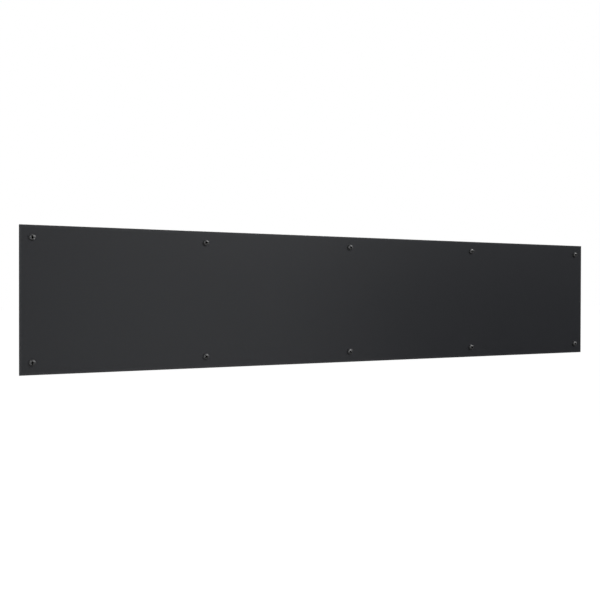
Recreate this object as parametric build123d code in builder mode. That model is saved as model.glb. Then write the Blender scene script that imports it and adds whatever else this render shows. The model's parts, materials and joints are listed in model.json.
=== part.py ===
"""Kick plate: a flat black sheet-metal door plate and the ten pan-head screws that hold it.

Frame, in millimetres: the origin is the centre of the plate's back face, which lies on the door.
+X runs along the plate, +Y goes into the door and +Z is up. The finished face looks towards -Y.
"""

import os
from math import cos, radians, sin, sqrt, tan

from build123d import *

# Plate: 30 in x 6 in of 0.050 in sheet
PLATE_LENGTH = 762.0
PLATE_HEIGHT = 152.4
PLATE_THICKNESS = 1.27
CORNER_RADIUS = 0.4
FRONT_EDGE_RADIUS = 0.35
BACK_EDGE_BREAK = 0.15

# Screw holes: five along the top edge and five along the bottom edge
HOLE_INSET = 12.7
HOLES_PER_ROW = 5
HOLE_PITCH_X = (PLATE_LENGTH - 2 * HOLE_INSET) / (HOLES_PER_ROW - 1)
HOLE_PITCH_Z = PLATE_HEIGHT - 2 * HOLE_INSET
HOLE_RADIUS = 2.0
HOLE_EDGE_RADIUS = 0.15

# Screw: No. 6 x 3/4 in pan-head tapping screw, modelled with its axis on Z and its head up.
# Z = 0 is the flat underside of the head, which bears on the plate's finished face. A thin neck
# passes through the plate, and the thread starts right behind it.
HEAD_RADIUS = 3.43
HEAD_HEIGHT = 2.46
CROWN_RADIUS = 7.2
SHOULDER_RADIUS = 1.1
HEAD_FOOT_RADIUS = 0.12
HEAD_CLEARANCE = 0.02
NECK_RADIUS = 1.45
NECK_LENGTH = 1.32
SCREW_LENGTH = 19.05
THREAD_PITCH = 25.4 / 18
THREAD_RADIUS = 1.75
THREAD_TOP = 1.5
THREAD_START = 1.62
THREAD_END = SCREW_LENGTH - 2 * THREAD_PITCH
THREAD_ROOT_RADIUS = 1.25
THREAD_CREST_WIDTH = 0.12
THREAD_FLANK_ANGLE = 28.0
POINT_LENGTH = 3.8
POINT_TIP_RADIUS = 0.08
GROOVE_OVERCUT = 0.1

# Cross recess in the head, as deep as it goes below the top of the head
RECESS_DEPTH = 2.1
RECESS_SPAN = 4.2
RECESS_FOOT_SPAN = 2.0
RECESS_FOOT_DEPTH = 1.75
RECESS_WING_WIDTH = 0.85
RECESS_CORE_RADIUS = 1.15
RECESS_CORE_FOOT_RADIUS = 0.6
RECESS_OVERCUT = 0.2

# How far each screw is turned, in degrees, left to right: no two are driven home alike
TURNS = {
    "top": [4, 14, 40, 78, 25],
    "bottom": [2, 36, 52, 18, 64],
}

CROWN_EDGE_HEIGHT = HEAD_HEIGHT - CROWN_RADIUS + sqrt(CROWN_RADIUS**2 - HEAD_RADIUS**2)
FRONT = Plane(origin=(0, -PLATE_THICKNESS, 0), x_dir=(1, 0, 0), z_dir=(0, -1, 0))


def half_plane(turn):
    """The upright plane through the screw's axis, turned by an angle in degrees from XZ."""
    a = radians(turn)
    return Plane(origin=(0, 0, 0), x_dir=(cos(a), sin(a), 0), z_dir=(sin(a), -cos(a), 0))


os.makedirs("parts", exist_ok=True)

# Plate

with BuildPart() as plate:
    with BuildSketch(Plane.XZ) as blank:
        Rectangle(PLATE_LENGTH, PLATE_HEIGHT)
        fillet(blank.vertices(), radius=CORNER_RADIUS)
    extrude(amount=PLATE_THICKNESS)
    fillet(plate.faces().sort_by(Axis.Y)[0].edges(), radius=FRONT_EDGE_RADIUS)
    chamfer(plate.faces().sort_by(Axis.Y)[-1].edges(), length=BACK_EDGE_BREAK)
    with Locations(FRONT):
        with GridLocations(HOLE_PITCH_X, HOLE_PITCH_Z, HOLES_PER_ROW, 2):
            Hole(radius=HOLE_RADIUS)
    fillet(plate.faces().sort_by(Axis.Y)[0].inner_wires().edges(), radius=HOLE_EDGE_RADIUS)

plate.part.label = "plate"
export_step(plate.part, "parts/plate.step")

# One screw, on the Z axis

with BuildPart() as screw:
    # The solid of revolution starts a half turn away from the thread's groove, so that their
    # seams don't lie on one another.
    with BuildSketch(half_plane(180)) as section:
        with BuildLine():
            RadiusArc((0, HEAD_HEIGHT), (HEAD_RADIUS, CROWN_EDGE_HEIGHT), CROWN_RADIUS)
            Polyline(
                (HEAD_RADIUS, CROWN_EDGE_HEIGHT),
                (HEAD_RADIUS, 0),
                (NECK_RADIUS, 0),
                (NECK_RADIUS, -NECK_LENGTH),
                (THREAD_RADIUS, -THREAD_TOP),
                (THREAD_RADIUS, POINT_LENGTH - SCREW_LENGTH),
                (POINT_TIP_RADIUS, -SCREW_LENGTH),
                (0, -SCREW_LENGTH),
                (0, HEAD_HEIGHT),
            )
        make_face()
        fillet(section.vertices().group_by(Axis.X)[-1].sort_by(Axis.Y)[-1], radius=SHOULDER_RADIUS)
        fillet(section.vertices().group_by(Axis.X)[-1].sort_by(Axis.Y)[0], radius=HEAD_FOOT_RADIUS)
    revolve(axis=Axis.Z)

    # Thread: a right-hand helical groove, from where the point is as thin as the root up to the
    # neck
    groove_foot = -THREAD_END
    groove_out = THREAD_RADIUS + GROOVE_OVERCUT
    flank = tan(radians(THREAD_FLANK_ANGLE))
    half_mouth = (THREAD_PITCH - THREAD_CREST_WIDTH) / 2 + GROOVE_OVERCUT * flank
    half_root = half_mouth - (groove_out - THREAD_ROOT_RADIUS) * flank
    with BuildLine():
        Helix(
            pitch=THREAD_PITCH,
            height=THREAD_END - THREAD_START - half_mouth,
            radius=THREAD_ROOT_RADIUS,
            center=(0, 0, groove_foot),
        )
    with BuildSketch(Plane.XZ):
        with BuildLine():
            Polyline(
                (THREAD_ROOT_RADIUS, groove_foot - half_root),
                (groove_out, groove_foot - half_mouth),
                (groove_out, groove_foot + half_mouth),
                (THREAD_ROOT_RADIUS, groove_foot + half_root),
                close=True,
            )
        make_face()
    sweep(is_frenet=True, mode=Mode.SUBTRACT)

    # Cross recess: a tapered round core and two crossing wings
    recess_top = HEAD_HEIGHT + RECESS_OVERCUT
    recess_foot = HEAD_HEIGHT - RECESS_FOOT_DEPTH
    with BuildSketch(half_plane(180)):
        with BuildLine():
            Polyline(
                (0, recess_top),
                (RECESS_CORE_RADIUS, recess_top),
                (RECESS_CORE_FOOT_RADIUS, recess_foot),
                (0, HEAD_HEIGHT - RECESS_DEPTH),
                close=True,
            )
        make_face()
    revolve(axis=Axis.Z, mode=Mode.SUBTRACT)
    for turn in (0, 90):
        with BuildSketch(half_plane(turn)):
            with BuildLine():
                Polyline(
                    (-RECESS_SPAN / 2, recess_top),
                    (RECESS_SPAN / 2, recess_top),
                    (RECESS_FOOT_SPAN / 2, recess_foot),
                    (-RECESS_FOOT_SPAN / 2, recess_foot),
                    close=True,
                )
            make_face()
        extrude(amount=RECESS_WING_WIDTH / 2, both=True, mode=Mode.SUBTRACT)

# The ten screws, each in its own hole, head outwards

for row, turns in TURNS.items():
    z = HOLE_PITCH_Z / 2 if row == "top" else -HOLE_PITCH_Z / 2
    for column, turn in enumerate(turns):
        x = (column - (HOLES_PER_ROW - 1) / 2) * HOLE_PITCH_X
        across = (cos(radians(turn)), 0, sin(radians(turn)))
        bearing = -PLATE_THICKNESS - HEAD_CLEARANCE
        seat = Plane(origin=(x, bearing, z), x_dir=across, z_dir=(0, -1, 0))
        name = f"screw_{row}_{column + 1}"
        with BuildPart(seat) as driven:
            add(screw.part)
        driven.part.label = name
        export_step(driven.part, f"parts/{name}.step")
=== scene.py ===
"""Studio picture of a black kick plate held by ten pan-head screws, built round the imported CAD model."""

import json
from math import atan2, cos, pi, radians, sin, sqrt

import bmesh
import bpy
from mathutils import Matrix, Vector

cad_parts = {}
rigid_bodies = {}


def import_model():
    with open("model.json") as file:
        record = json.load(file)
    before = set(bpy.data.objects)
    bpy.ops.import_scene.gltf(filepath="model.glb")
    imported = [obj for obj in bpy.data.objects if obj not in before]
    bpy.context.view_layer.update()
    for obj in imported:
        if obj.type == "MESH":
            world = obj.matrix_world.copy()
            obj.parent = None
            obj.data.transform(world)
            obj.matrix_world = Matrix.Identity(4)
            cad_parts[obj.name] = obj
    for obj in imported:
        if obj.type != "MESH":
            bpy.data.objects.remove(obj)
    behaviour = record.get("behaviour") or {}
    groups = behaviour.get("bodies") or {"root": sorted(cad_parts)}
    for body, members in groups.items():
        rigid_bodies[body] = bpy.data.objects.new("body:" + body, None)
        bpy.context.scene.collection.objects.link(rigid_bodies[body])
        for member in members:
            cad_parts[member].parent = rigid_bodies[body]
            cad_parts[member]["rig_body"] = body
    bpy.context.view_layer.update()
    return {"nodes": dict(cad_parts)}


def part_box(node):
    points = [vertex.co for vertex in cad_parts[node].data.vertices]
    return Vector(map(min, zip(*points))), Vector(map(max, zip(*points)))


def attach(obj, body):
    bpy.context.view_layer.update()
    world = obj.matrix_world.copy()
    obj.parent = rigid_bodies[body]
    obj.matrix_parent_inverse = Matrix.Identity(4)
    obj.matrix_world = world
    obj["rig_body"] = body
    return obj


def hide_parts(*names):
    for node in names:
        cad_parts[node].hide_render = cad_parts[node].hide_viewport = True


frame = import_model()
scene = bpy.context.scene

MM = 0.001

# The plate, from the frame
PLATE_LOW, PLATE_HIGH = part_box("plate")
ROWS = ("top", "bottom")
COLUMNS = 5

# The screws, as in the CAD model: millimetres, with the axis on Z, Z = 0 on the flat underside of the
# head and up out of the door
HEAD_RADIUS = 3.425
HEAD_HEIGHT = 2.46
CROWN_RADIUS = 7.2
SHOULDER_RADIUS = 1.1
HEAD_FOOT_RADIUS = 0.12
NECK_ROUNDING = 0.15
NECK_RADIUS = 1.445
NECK_LENGTH = 1.32
SCREW_LENGTH = 19.05
THREAD_PITCH = 25.4 / 18
THREAD_RADIUS = 1.745
THREAD_ROOT_RADIUS = 1.25
POINT_LENGTH = 3.8
POINT_TIP_RADIUS = 0.08

# Where the shoulder's arc has its centre, and how far the crown is tilted where it turns into it
CROWN_CENTRE = HEAD_HEIGHT - CROWN_RADIUS
SHOULDER_OUT = HEAD_RADIUS - SHOULDER_RADIUS
SHOULDER_RISE = sqrt((CROWN_RADIUS - SHOULDER_RADIUS) ** 2 - SHOULDER_OUT**2)
SHOULDER_TILT = atan2(SHOULDER_OUT, SHOULDER_RISE)

# Cross recess: half the reach of a wing, half its width and the radius of the core, at the mouth and foot
RECESS_MOUTH = (1.83, 0.42, 1.07)
RECESS_FOOT = (1.0, 0.3, 0.6)
RECESS_FOOT_DEPTH = 1.75
RECESS_DEPTH = 2.1
RECESS_EDGE = 0.08
WING_CORNER = 0.12

# How finely the screw's shape is divided: degrees round a rounded edge, and shares of the way along the
# wing, round the core, up the recess and out over the crown
ROUND_STEPS = (0, 30, 60, 90)
WING_STEPS = (1 / 3, 2 / 3, 1.0)
CORE_STEPS = (0.25, 0.5, 0.75, 1.0)
WALL_STEPS = (0.35, 0.7, 1.0)
CROWN_STEPS = (0.08, 0.18, 0.3, 0.44, 0.58, 0.72, 0.86, 1.0)
SHOULDER_STEPS = 8

# Rows of points in one pitch: how far each is from the crest's middle, and its share of the thread's depth
THREAD_ROWS = [(-0.04, 0), (0.04, 0), (0.21, 0.85), (0.27, 1), (0.5, 1), (0.73, 1), (0.79, 0.85)]

# Wear of the screws' paint, from 0 for none to 1 for rubbed thin; on the crown it fades away from the recess
RECESS_RIM_WEAR = 1.0
RECESS_WALL_WEAR = 0.35
CROWN_WEAR = 0.6
CROWN_WEAR_FADE = 4
SIDE_WEAR = 0.2
CREST_WEAR = 0.5

# Screws with a painted glint, a light grey spot on the head standing for a highlight: how far across and up
# from the axis the spot is, and its radius, all in millimetres and before the screw is turned
PAINTED_GLINTS = {"screw_top_1": ((1.55, -1.75), 0.75)}

# How far in from the plate's outline its coat is rubbed and lightened, partly wear and partly a painted
# highlight
RIM_WEAR_AND_HIGHLIGHT_WIDTH = 3 * MM

# Colours
COAT_DARKER = (0.0365, 0.0385, 0.0440)
COAT_LIGHTER = (0.0405, 0.0425, 0.0480)
COAT_SPECKS = (0.060, 0.063, 0.069)
# Lighter coat at the rim: rubbed coat and a painted highlight of the rounded edge
COAT_RUBBED_AND_HIGHLIT = (0.072, 0.075, 0.081)
PAINT = (0.075, 0.0765, 0.0795)
PAINT_RUBBED = (0.13, 0.132, 0.138)
# Light grey painted on one head as a glint
PAINTED_GLINT_COLOUR = (0.7, 0.7, 0.7)
# Near-black painted shade for the inside of a screw's recess
RECESS_SHADE_DARKER = (0.0015, 0.0015, 0.0016)
RECESS_SHADE_LIGHTER = (0.005, 0.005, 0.0053)

# Depth of the relief in each finish, in metres
PEEL_DEPTH = 0.000012
COAT_GRAIN_DEPTH = 0.000022
PAINT_GRAIN_DEPTH = 0.000003
SHADE_SPECKLE_DEPTH = 0.00001

# Camera: metres, millimetres and degrees
CAMERA_PLACE = (-0.4615, -0.8156, 0.0072)
CAMERA_LENS = 45.91
CAMERA_TURN_RIGHT = 25.81
CAMERA_TIP_DOWN = 0.485
CAMERA_ROLL = 0.127

# Soft lights: name, azimuth and elevation in degrees, distance, width and height in metres, watts
SOFTBOXES = [
    ("front_high", 10, 12, 2.0, 1.4, 0.7, 2.06),
    ("front_low", 10, -11, 2.0, 1.4, 0.7, 1.8),
    ("left_high", -40, 15, 2.0, 0.7, 0.7, 3.9),
    ("left_low", -40, -15, 2.0, 0.7, 0.7, 2.3),
    ("key", 38, 28, 4.0, 0.7, 0.7, 40),
    ("right", 71, 21, 4.0, 0.7, 0.7, 13.5),
    ("right_high", 60, 45, 4.0, 0.9, 0.9, 9),
    ("overhead", 0, 70, 4.0, 1.2, 1.2, 5),
    ("back", 170, 20, 2.5, 1.8, 1.4, 60),
]
SURROUNDINGS_STRENGTH = 0.016

# Floor, in metres
FLOOR_HALF = 60.0
FLOOR_HEIGHT = -1.3

# Which of a screw's two materials a face has
PAINTED, RECESSED = 0, 1

# How far each screw is driven round, in degrees, left to right
TURNS = {
    "top": [4, 14, 40, 78, 25],
    "bottom": [2, 36, 52, 18, 64],
}


# Screws


def crown_height(radius):
    return CROWN_CENTRE + sqrt(CROWN_RADIUS**2 - radius**2)


def recess_outline(reach, half_wing, core, grow=0.0):
    """The cross recess from above, anticlockwise: four wings with rounded ends, joined by the round core."""
    reach, half_wing, core = reach + grow, half_wing + grow, core + grow
    corner = WING_CORNER + grow
    half = [(reach, 0.0), (reach, (half_wing - corner) / 2)]
    for degrees_round in ROUND_STEPS:
        a = radians(degrees_round)
        half.append((reach - corner + corner * cos(a), half_wing - corner + corner * sin(a)))
    leaves_core = sqrt(core**2 - half_wing**2)
    for share in WING_STEPS:
        half.append((reach - corner + (leaves_core - reach + corner) * share, half_wing))
    start = atan2(half_wing, leaves_core)
    for share in CORE_STEPS:
        a = start + (pi / 4 - start) * share
        half.append((core * cos(a), core * sin(a)))
    wing = [(x, -y) for x, y in reversed(half[1:-1])] + half
    outline = []
    for quarter in range(4):
        turn = Matrix.Rotation(quarter * pi / 2, 2)
        outline += [turn @ Vector(point) for point in wing]
    return outline


def soft_corner(before, corner, after, size):
    """Three points that round off a corner of a profile."""
    start = corner + (before - corner).normalized() * size
    end = corner + (after - corner).normalized() * size
    return [start, (start + end + 2 * corner) / 4, end]


def head_profile():
    """Radius and height round the shoulder, down the head's side and in under it to the neck."""
    profile = []
    for step in range(1, SHOULDER_STEPS + 1):
        a = (pi / 2 - SHOULDER_TILT) * (1 - step / SHOULDER_STEPS)
        out = SHOULDER_OUT + SHOULDER_RADIUS * cos(a)
        profile.append(Vector((out, CROWN_CENTRE + SHOULDER_RISE + SHOULDER_RADIUS * sin(a))))
    side_top = profile[-1]
    for degrees_under in ROUND_STEPS:
        a = radians(degrees_under)
        out = HEAD_RADIUS - HEAD_FOOT_RADIUS * (1 - cos(a))
        profile.append(Vector((out, HEAD_FOOT_RADIUS * (1 - sin(a)))))
    profile.insert(SHOULDER_STEPS, side_top.lerp(profile[SHOULDER_STEPS], 0.5))
    underside = profile[-1]
    neck_top = Vector((NECK_RADIUS, 0))
    neck_foot = Vector((NECK_RADIUS, -NECK_LENGTH))
    profile.append(underside.lerp(neck_top, 0.5))
    return profile + soft_corner(underside, neck_top, neck_foot, NECK_ROUNDING)


def thread_radii(height):
    """The thread's radius at its root and crest, which grow out of the neck and taper off in the point."""
    grown = min(max((-NECK_LENGTH - height) / THREAD_PITCH, 0.0), 1.0)
    grown = grown**2 * (3 - 2 * grown)
    root = NECK_RADIUS + (THREAD_ROOT_RADIUS - NECK_RADIUS) * grown
    crest = NECK_RADIUS + (THREAD_RADIUS - NECK_RADIUS) * grown
    blunt = POINT_TIP_RADIUS / THREAD_RADIUS
    taper = blunt + (1 - blunt) * min((height + SCREW_LENGTH) / POINT_LENGTH, 1.0)
    return root * taper, crest * taper


class Surface:
    """A closed surface made of rings of points, with wear at each point and a finish to each face."""

    def __init__(self):
        self.mesh = bmesh.new()
        self.wear = self.mesh.verts.layers.float.new("wear")
        self.finish = PAINTED

    def point(self, place, wear=0.0):
        vertex = self.mesh.verts.new(place)
        vertex[self.wear] = wear
        return vertex

    def ring(self, places, wear=0.0):
        return [self.point(place, wear) for place in places]

    def face(self, corners):
        """A face on the corners that differ, if there are three of them."""
        distinct = list(dict.fromkeys(corners))
        if len(distinct) > 2:
            made = self.mesh.faces.new(distinct)
            made.smooth = True
            made.material_index = self.finish

    def join(self, one, other):
        for i in range(len(one)):
            j = (i + 1) % len(one)
            self.face((one[i], one[j], other[j], other[i]))

    def close(self, ring, centre):
        for i in range(len(ring)):
            self.face((ring[i], ring[(i + 1) % len(ring)], centre))


def add_thread(surface, top_ring, angles):
    """Rows of points that climb with the thread, from the point of the screw up to top_ring."""
    low, high = -SCREW_LENGTH, -NECK_LENGTH
    turns = int((high - low) / THREAD_PITCH) + 3
    tip_ring = surface.ring([(POINT_TIP_RADIUS * cos(a), POINT_TIP_RADIUS * sin(a), low) for a in angles])
    columns = []
    for i, angle in enumerate(angles):
        climb = (angle - angles[0]) / (2 * pi)
        column = []
        for turn in range(-1, turns):
            for place, depth in THREAD_ROWS:
                height = low + THREAD_PITCH * (turn + place + climb)
                if height <= low:
                    column.append(tip_ring[i])
                elif height >= high:
                    column.append(top_ring[i])
                else:
                    root, crest = thread_radii(height)
                    radius = crest + (root - crest) * depth
                    worn = CREST_WEAR * (1 - depth)
                    column.append(surface.point((radius * cos(angle), radius * sin(angle), height), worn))
        columns.append(column)
    # The last column meets the first one a whole pitch higher up
    rows = len(THREAD_ROWS)
    columns.append(columns[0][rows:] + [top_ring[0]] * rows)
    for left, right in zip(columns, columns[1:]):
        for k in range(len(left) - 1):
            surface.face((left[k], right[k], right[k + 1], left[k + 1]))
    surface.close(tip_ring, surface.point((0, 0, low)))


def screw_surface():
    """A pan-head tapping screw with a cross recess, on the Z axis."""
    surface = Surface()
    mouth = recess_outline(*RECESS_MOUTH)
    foot = recess_outline(*RECESS_FOOT)
    foot_height = HEAD_HEIGHT - RECESS_FOOT_DEPTH
    angles = []
    for point in mouth:
        angle = atan2(point.y, point.x)
        angles.append(angle + 2 * pi if angles and angle < angles[-1] else angle)

    def circle(radius, height):
        return [(radius * cos(a), radius * sin(a), height) for a in angles]

    # Recess: floor, walls that narrow downwards, and a rounded rim
    # The recess's faces take the second material, whose near-black colour is painted shade
    surface.finish = RECESSED
    centre = surface.point((0, 0, HEAD_HEIGHT - RECESS_DEPTH))
    ring = surface.ring([(*point, foot_height) for point in foot])
    surface.close(ring, centre)
    for share in WALL_STEPS:
        places = []
        for low, high in zip(foot, mouth):
            point = low.lerp(high, share)
            top = crown_height(high.length) - RECESS_EDGE
            places.append((*point, foot_height + (top - foot_height) * share))
        walls = surface.ring(places, RECESS_WALL_WEAR * share)
        surface.join(ring, walls)
        ring = walls
    surface.finish = PAINTED
    for degrees_over in reversed(ROUND_STEPS[:-1]):
        a = radians(degrees_over)
        outline = recess_outline(*RECESS_MOUTH, grow=RECESS_EDGE * (1 - sin(a)))
        drop = RECESS_EDGE * (1 - cos(a))
        rim = surface.ring([(*p, crown_height(p.length) - drop) for p in outline], RECESS_RIM_WEAR)
        surface.join(ring, rim)
        ring = rim

    # Crown, from the recess's outline out to the circle where the shoulder starts
    edge = CROWN_RADIUS * sin(SHOULDER_TILT)
    for share in CROWN_STEPS:
        places = []
        for point, angle in zip(outline, angles):
            flat = point.lerp(Vector((edge * cos(angle), edge * sin(angle))), share)
            places.append((*flat, crown_height(flat.length)))
        crown = surface.ring(places, max(0.0, CROWN_WEAR - CROWN_WEAR_FADE * share))
        surface.join(ring, crown)
        ring = crown

    for radius, height in head_profile():
        lower = surface.ring(circle(radius, height), SIDE_WEAR)
        surface.join(ring, lower)
        ring = lower
    top_ring = surface.ring(circle(NECK_RADIUS, -NECK_LENGTH))
    surface.join(ring, top_ring)
    add_thread(surface, top_ring, angles)
    bmesh.ops.recalc_face_normals(surface.mesh, faces=surface.mesh.faces)
    return surface.mesh


def paint_glint_on_head(mesh, middle, radius):
    """Paint a light grey glint round one place on the top of a head, whose mesh is still on the Z axis."""
    painted_glint = mesh.attributes.new("painted_glint", "FLOAT", "POINT")
    for vertex, mark in zip(mesh.vertices, painted_glint.data):
        away = (vertex.co.xy - Vector(middle)).length / radius
        if vertex.co.z > HEAD_HEIGHT / 2:
            mark.value = min(max(2 - 2 * away, 0.0), 1.0)


def place_screws(materials):
    """Each CAD screw gives way to the finer one, driven into the same hole."""
    shape = screw_surface()
    for row in ROWS:
        for column in range(COLUMNS):
            name = f"screw_{row}_{column + 1}"
            low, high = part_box(name)
            turn = radians(TURNS[row][column])
            across = Vector((cos(turn), 0, sin(turn)))
            up = Vector((0, -1, 0))
            axes = Matrix((across, up.cross(across), up)).transposed().to_4x4()
            seat = Vector(((low.x + high.x) / 2, high.y - SCREW_LENGTH * MM, (low.z + high.z) / 2))
            mesh = bpy.data.meshes.new(f"{name}_finish")
            shape.to_mesh(mesh)
            if name in PAINTED_GLINTS:
                paint_glint_on_head(mesh, *PAINTED_GLINTS[name])
            mesh.transform(Matrix.Translation(seat) @ axes @ Matrix.Scale(MM, 4))
            for material in materials:
                mesh.materials.append(material)
            screw = bpy.data.objects.new(f"{name}_finish", mesh)
            scene.collection.objects.link(screw)
            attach(screw, frame["nodes"][name]["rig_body"])
            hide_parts(name)
    shape.free()


# Materials


def new_material(name):
    material = bpy.data.materials.new(name)
    material.use_nodes = True
    nodes, links = material.node_tree.nodes, material.node_tree.links
    return material, nodes, links, nodes["Principled BSDF"]


def noise(nodes, links, coordinates, grain, detail=2.0, seed=0.0):
    """A noise pattern whose lumps are about grain metres across."""
    node = nodes.new("ShaderNodeTexNoise")
    node.noise_dimensions = "4D"
    node.inputs["W"].default_value = seed
    node.inputs["Scale"].default_value = 1 / grain
    node.inputs["Detail"].default_value = detail
    links.new(coordinates, node.inputs["Vector"])
    return node.outputs["Fac"]


def spread(nodes, links, value, low, high, to_low, to_high):
    """value between low and high, mapped onto to_low to to_high."""
    node = nodes.new("ShaderNodeMapRange")
    node.inputs["From Min"].default_value = low
    node.inputs["From Max"].default_value = high
    node.inputs["To Min"].default_value = to_low
    node.inputs["To Max"].default_value = to_high
    links.new(value, node.inputs["Value"])
    return node.outputs["Result"]


def maths(nodes, links, operation, one, other):
    """An operation on two values, each a number or another node's output."""
    node = nodes.new("ShaderNodeMath")
    node.operation = operation
    for value, socket in zip((one, other), node.inputs):
        if isinstance(value, (int, float)):
            socket.default_value = value
        else:
            links.new(value, socket)
    return node.outputs["Value"]


def two_colours(nodes, links, factor, one, other):
    """A mix of two colours, either of which may be another mix."""
    node = nodes.new("ShaderNodeMix")
    node.data_type = "RGBA"
    links.new(factor, node.inputs["Factor"])
    for colour, socket in ((one, "A"), (other, "B")):
        if isinstance(colour, tuple):
            node.inputs[socket].default_value = (*colour, 1)
        else:
            links.new(colour, node.inputs[socket])
    return node.outputs["Result"]


def bump(nodes, links, height, depth, below=None):
    """Relief that turns a pattern from 0 to 1 into a surface depth metres deep."""
    node = nodes.new("ShaderNodeBump")
    node.inputs["Distance"].default_value = depth
    links.new(height, node.inputs["Height"])
    if below is not None:
        links.new(below, node.inputs["Normal"])
    return node.outputs["Normal"]


def near_rim(nodes, links, place, width):
    """1 at the plate's outline, falling to 0 at width metres in from it."""
    parts = nodes.new("ShaderNodeSeparateXYZ")
    links.new(place, parts.inputs["Vector"])
    along = maths(nodes, links, "ABSOLUTE", parts.outputs["X"], 0)
    up = maths(nodes, links, "ABSOLUTE", parts.outputs["Z"], 0)
    along = spread(nodes, links, along, PLATE_HIGH.x - width, PLATE_HIGH.x, 0, 1)
    up = spread(nodes, links, up, PLATE_HIGH.z - width, PLATE_HIGH.z, 0, 1)
    return maths(nodes, links, "MAXIMUM", along, up)


def powder_coat():
    """Matte black powder coat: grain on soft orange peel, cloudy, and lighter along the plate's rim, partly
    rubbed coat and partly a painted highlight.
    """
    material, nodes, links, shader = new_material("powder_coat_black")
    place = nodes.new("ShaderNodeTexCoord").outputs["Object"]
    clouds = noise(nodes, links, place, grain=0.06, detail=3.0, seed=1.0)
    peel = noise(nodes, links, place, grain=0.0024, detail=1.0, seed=2.0)
    grain = noise(nodes, links, place, grain=0.0006, detail=2.0, seed=3.0)
    specks = noise(nodes, links, place, grain=0.0011, detail=3.0, seed=4.0)
    specks = spread(nodes, links, specks, 0.6, 0.75, 0, 0.35)
    coat = two_colours(nodes, links, clouds, COAT_DARKER, COAT_LIGHTER)
    coat = two_colours(nodes, links, specks, coat, COAT_SPECKS)
    patches = noise(nodes, links, place, grain=0.004, detail=3.0, seed=7.0)
    patches = spread(nodes, links, patches, 0.3, 0.65, 0.2, 1)
    # The rim is lightened in patches: partly rubbed coat, partly a painted highlight where the edge catches
    # light
    rubbed = maths(nodes, links, "MULTIPLY", near_rim(nodes, links, place, RIM_WEAR_AND_HIGHLIGHT_WIDTH), patches)
    links.new(two_colours(nodes, links, rubbed, coat, COAT_RUBBED_AND_HIGHLIT), shader.inputs["Base Color"])
    links.new(spread(nodes, links, grain, 0.3, 0.7, 0.28, 0.38), shader.inputs["Roughness"])
    coarse = bump(nodes, links, peel, PEEL_DEPTH)
    links.new(bump(nodes, links, grain, COAT_GRAIN_DEPTH, coarse), shader.inputs["Normal"])
    return material


def screw_paint():
    """Satin black paint, rubbed thin on the recess's rim and the thread's crests."""
    material, nodes, links, shader = new_material("screw_paint_black")
    place = nodes.new("ShaderNodeTexCoord").outputs["Object"]
    grain = noise(nodes, links, place, grain=0.0003, detail=2.0, seed=5.0)
    patches = noise(nodes, links, place, grain=0.0009, detail=3.0, seed=6.0)
    patches = spread(nodes, links, patches, 0.45, 0.62, 0, 1)
    worn = nodes.new("ShaderNodeAttribute")
    worn.attribute_name = "wear"
    rubbed = maths(nodes, links, "MULTIPLY", worn.outputs["Fac"], patches)
    paint = two_colours(nodes, links, rubbed, PAINT, PAINT_RUBBED)
    # A light grey glint painted round one place on one head
    glint_spot = nodes.new("ShaderNodeAttribute")
    glint_spot.attribute_name = "painted_glint"
    paint = two_colours(nodes, links, glint_spot.outputs["Fac"], paint, PAINTED_GLINT_COLOUR)
    links.new(paint, shader.inputs["Base Color"])
    shader.inputs["IOR"].default_value = 1.65
    shader.inputs["Specular IOR Level"].default_value = 0.9
    links.new(spread(nodes, links, grain, 0.3, 0.7, 0.36, 0.44), shader.inputs["Roughness"])
    links.new(bump(nodes, links, grain, PAINT_GRAIN_DEPTH), shader.inputs["Normal"])
    return material


def recess_painted_shade():
    """Dull, nearly black colour in the bottom of a recess: painted shade, where little light comes back out.
    """
    material, nodes, links, shader = new_material("screw_recess_painted_shade")
    place = nodes.new("ShaderNodeTexCoord").outputs["Object"]
    shade_speckle = noise(nodes, links, place, grain=0.0002, detail=3.0, seed=8.0)
    links.new(two_colours(nodes, links, shade_speckle, RECESS_SHADE_DARKER, RECESS_SHADE_LIGHTER), shader.inputs["Base Color"])
    shader.inputs["Specular IOR Level"].default_value = 0.06
    links.new(spread(nodes, links, shade_speckle, 0.3, 0.7, 0.75, 0.95), shader.inputs["Roughness"])
    links.new(bump(nodes, links, shade_speckle, SHADE_SPECKLE_DEPTH), shader.inputs["Normal"])
    return material


# Studio


def make_camera():
    """A camera left of the plate's middle and level with it, turned right to take the whole plate in."""
    turn_right, tip_down, roll = (radians(a) for a in (CAMERA_TURN_RIGHT, CAMERA_TIP_DOWN, CAMERA_ROLL))
    data = bpy.data.cameras.new("camera")
    data.sensor_width = 36.0
    data.lens = CAMERA_LENS
    camera = bpy.data.objects.new("camera", data)
    look = Matrix.Rotation(-turn_right, 4, "Z") @ Matrix.Rotation(pi / 2 - tip_down, 4, "X")
    camera.matrix_world = Matrix.Translation(CAMERA_PLACE) @ look @ Matrix.Rotation(roll, 4, "Z")
    scene.collection.objects.link(camera)
    scene.camera = camera


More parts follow.
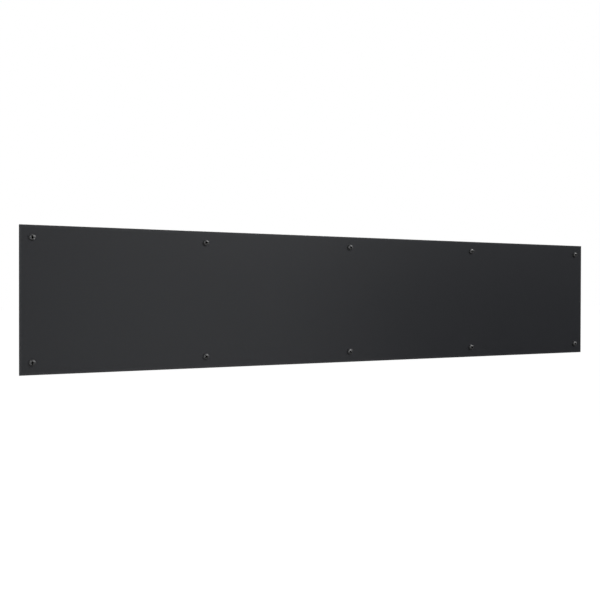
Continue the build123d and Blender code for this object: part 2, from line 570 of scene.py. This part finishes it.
def softbox(name, azimuth, elevation, distance, width, height, watts):
    """A rectangular light that faces the plate's middle. Azimuth 0 is in front, and grows to the right."""
    a, e = radians(azimuth), radians(elevation)
    towards = Vector((sin(a) * cos(e), -cos(a) * cos(e), sin(e)))
    data = bpy.data.lights.new(name, "AREA")
    data.shape = "RECTANGLE"
    data.size, data.size_y = width, height
    data.energy = watts
    light = bpy.data.objects.new(name, data)
    light.location = towards * distance
    light.rotation_euler = (-towards).to_track_quat("-Z", "Y").to_euler()
    light.visible_camera = False
    scene.collection.objects.link(light)


def white_surroundings():
    """Pure white to the camera, and a dim grey for whatever light it gives."""
    world = bpy.data.worlds.new("surroundings")
    world.use_nodes = True
    nodes, links = world.node_tree.nodes, world.node_tree.links
    dim = nodes["Background"]
    dim.inputs["Color"].default_value = (1, 1, 1, 1)
    dim.inputs["Strength"].default_value = SURROUNDINGS_STRENGTH
    white = nodes.new("ShaderNodeBackground")
    white.inputs["Color"].default_value = (1, 1, 1, 1)
    chosen = nodes.new("ShaderNodeMixShader")
    links.new(nodes.new("ShaderNodeLightPath").outputs["Is Camera Ray"], chosen.inputs["Fac"])
    links.new(dim.outputs["Background"], chosen.inputs[1])
    links.new(white.outputs["Background"], chosen.inputs[2])
    links.new(chosen.outputs["Shader"], nodes["World Output"].inputs["Surface"])
    scene.world = world


def make_floor():
    """A plain pale floor, far enough below the plate that no shadow reaches it."""
    mesh = bpy.data.meshes.new("floor")
    signs = ((-1, -1), (1, -1), (1, 1), (-1, 1))
    corners = [(x * FLOOR_HALF, y * FLOOR_HALF, FLOOR_HEIGHT) for x, y in signs]
    mesh.from_pydata(corners, [], [(0, 1, 2, 3)])
    material, _, _, shader = new_material("floor_white")
    shader.inputs["Base Color"].default_value = (0.9, 0.9, 0.9, 1)
    shader.inputs["Roughness"].default_value = 0.9
    shader.inputs["Emission Color"].default_value = (1, 1, 1, 1)
    shader.inputs["Emission Strength"].default_value = 1.0
    mesh.materials.append(material)
    floor = bpy.data.objects.new("floor", mesh)
    floor.visible_diffuse = False
    floor.visible_glossy = False
    scene.collection.objects.link(floor)


place_screws((screw_paint(), recess_painted_shade()))
plate = frame["nodes"]["plate"]
plate.data.materials.clear()
plate.data.materials.append(powder_coat())

make_camera()
white_surroundings()
make_floor()
for box in SOFTBOXES:
    softbox(*box)
scene.view_settings.view_transform = "Standard"
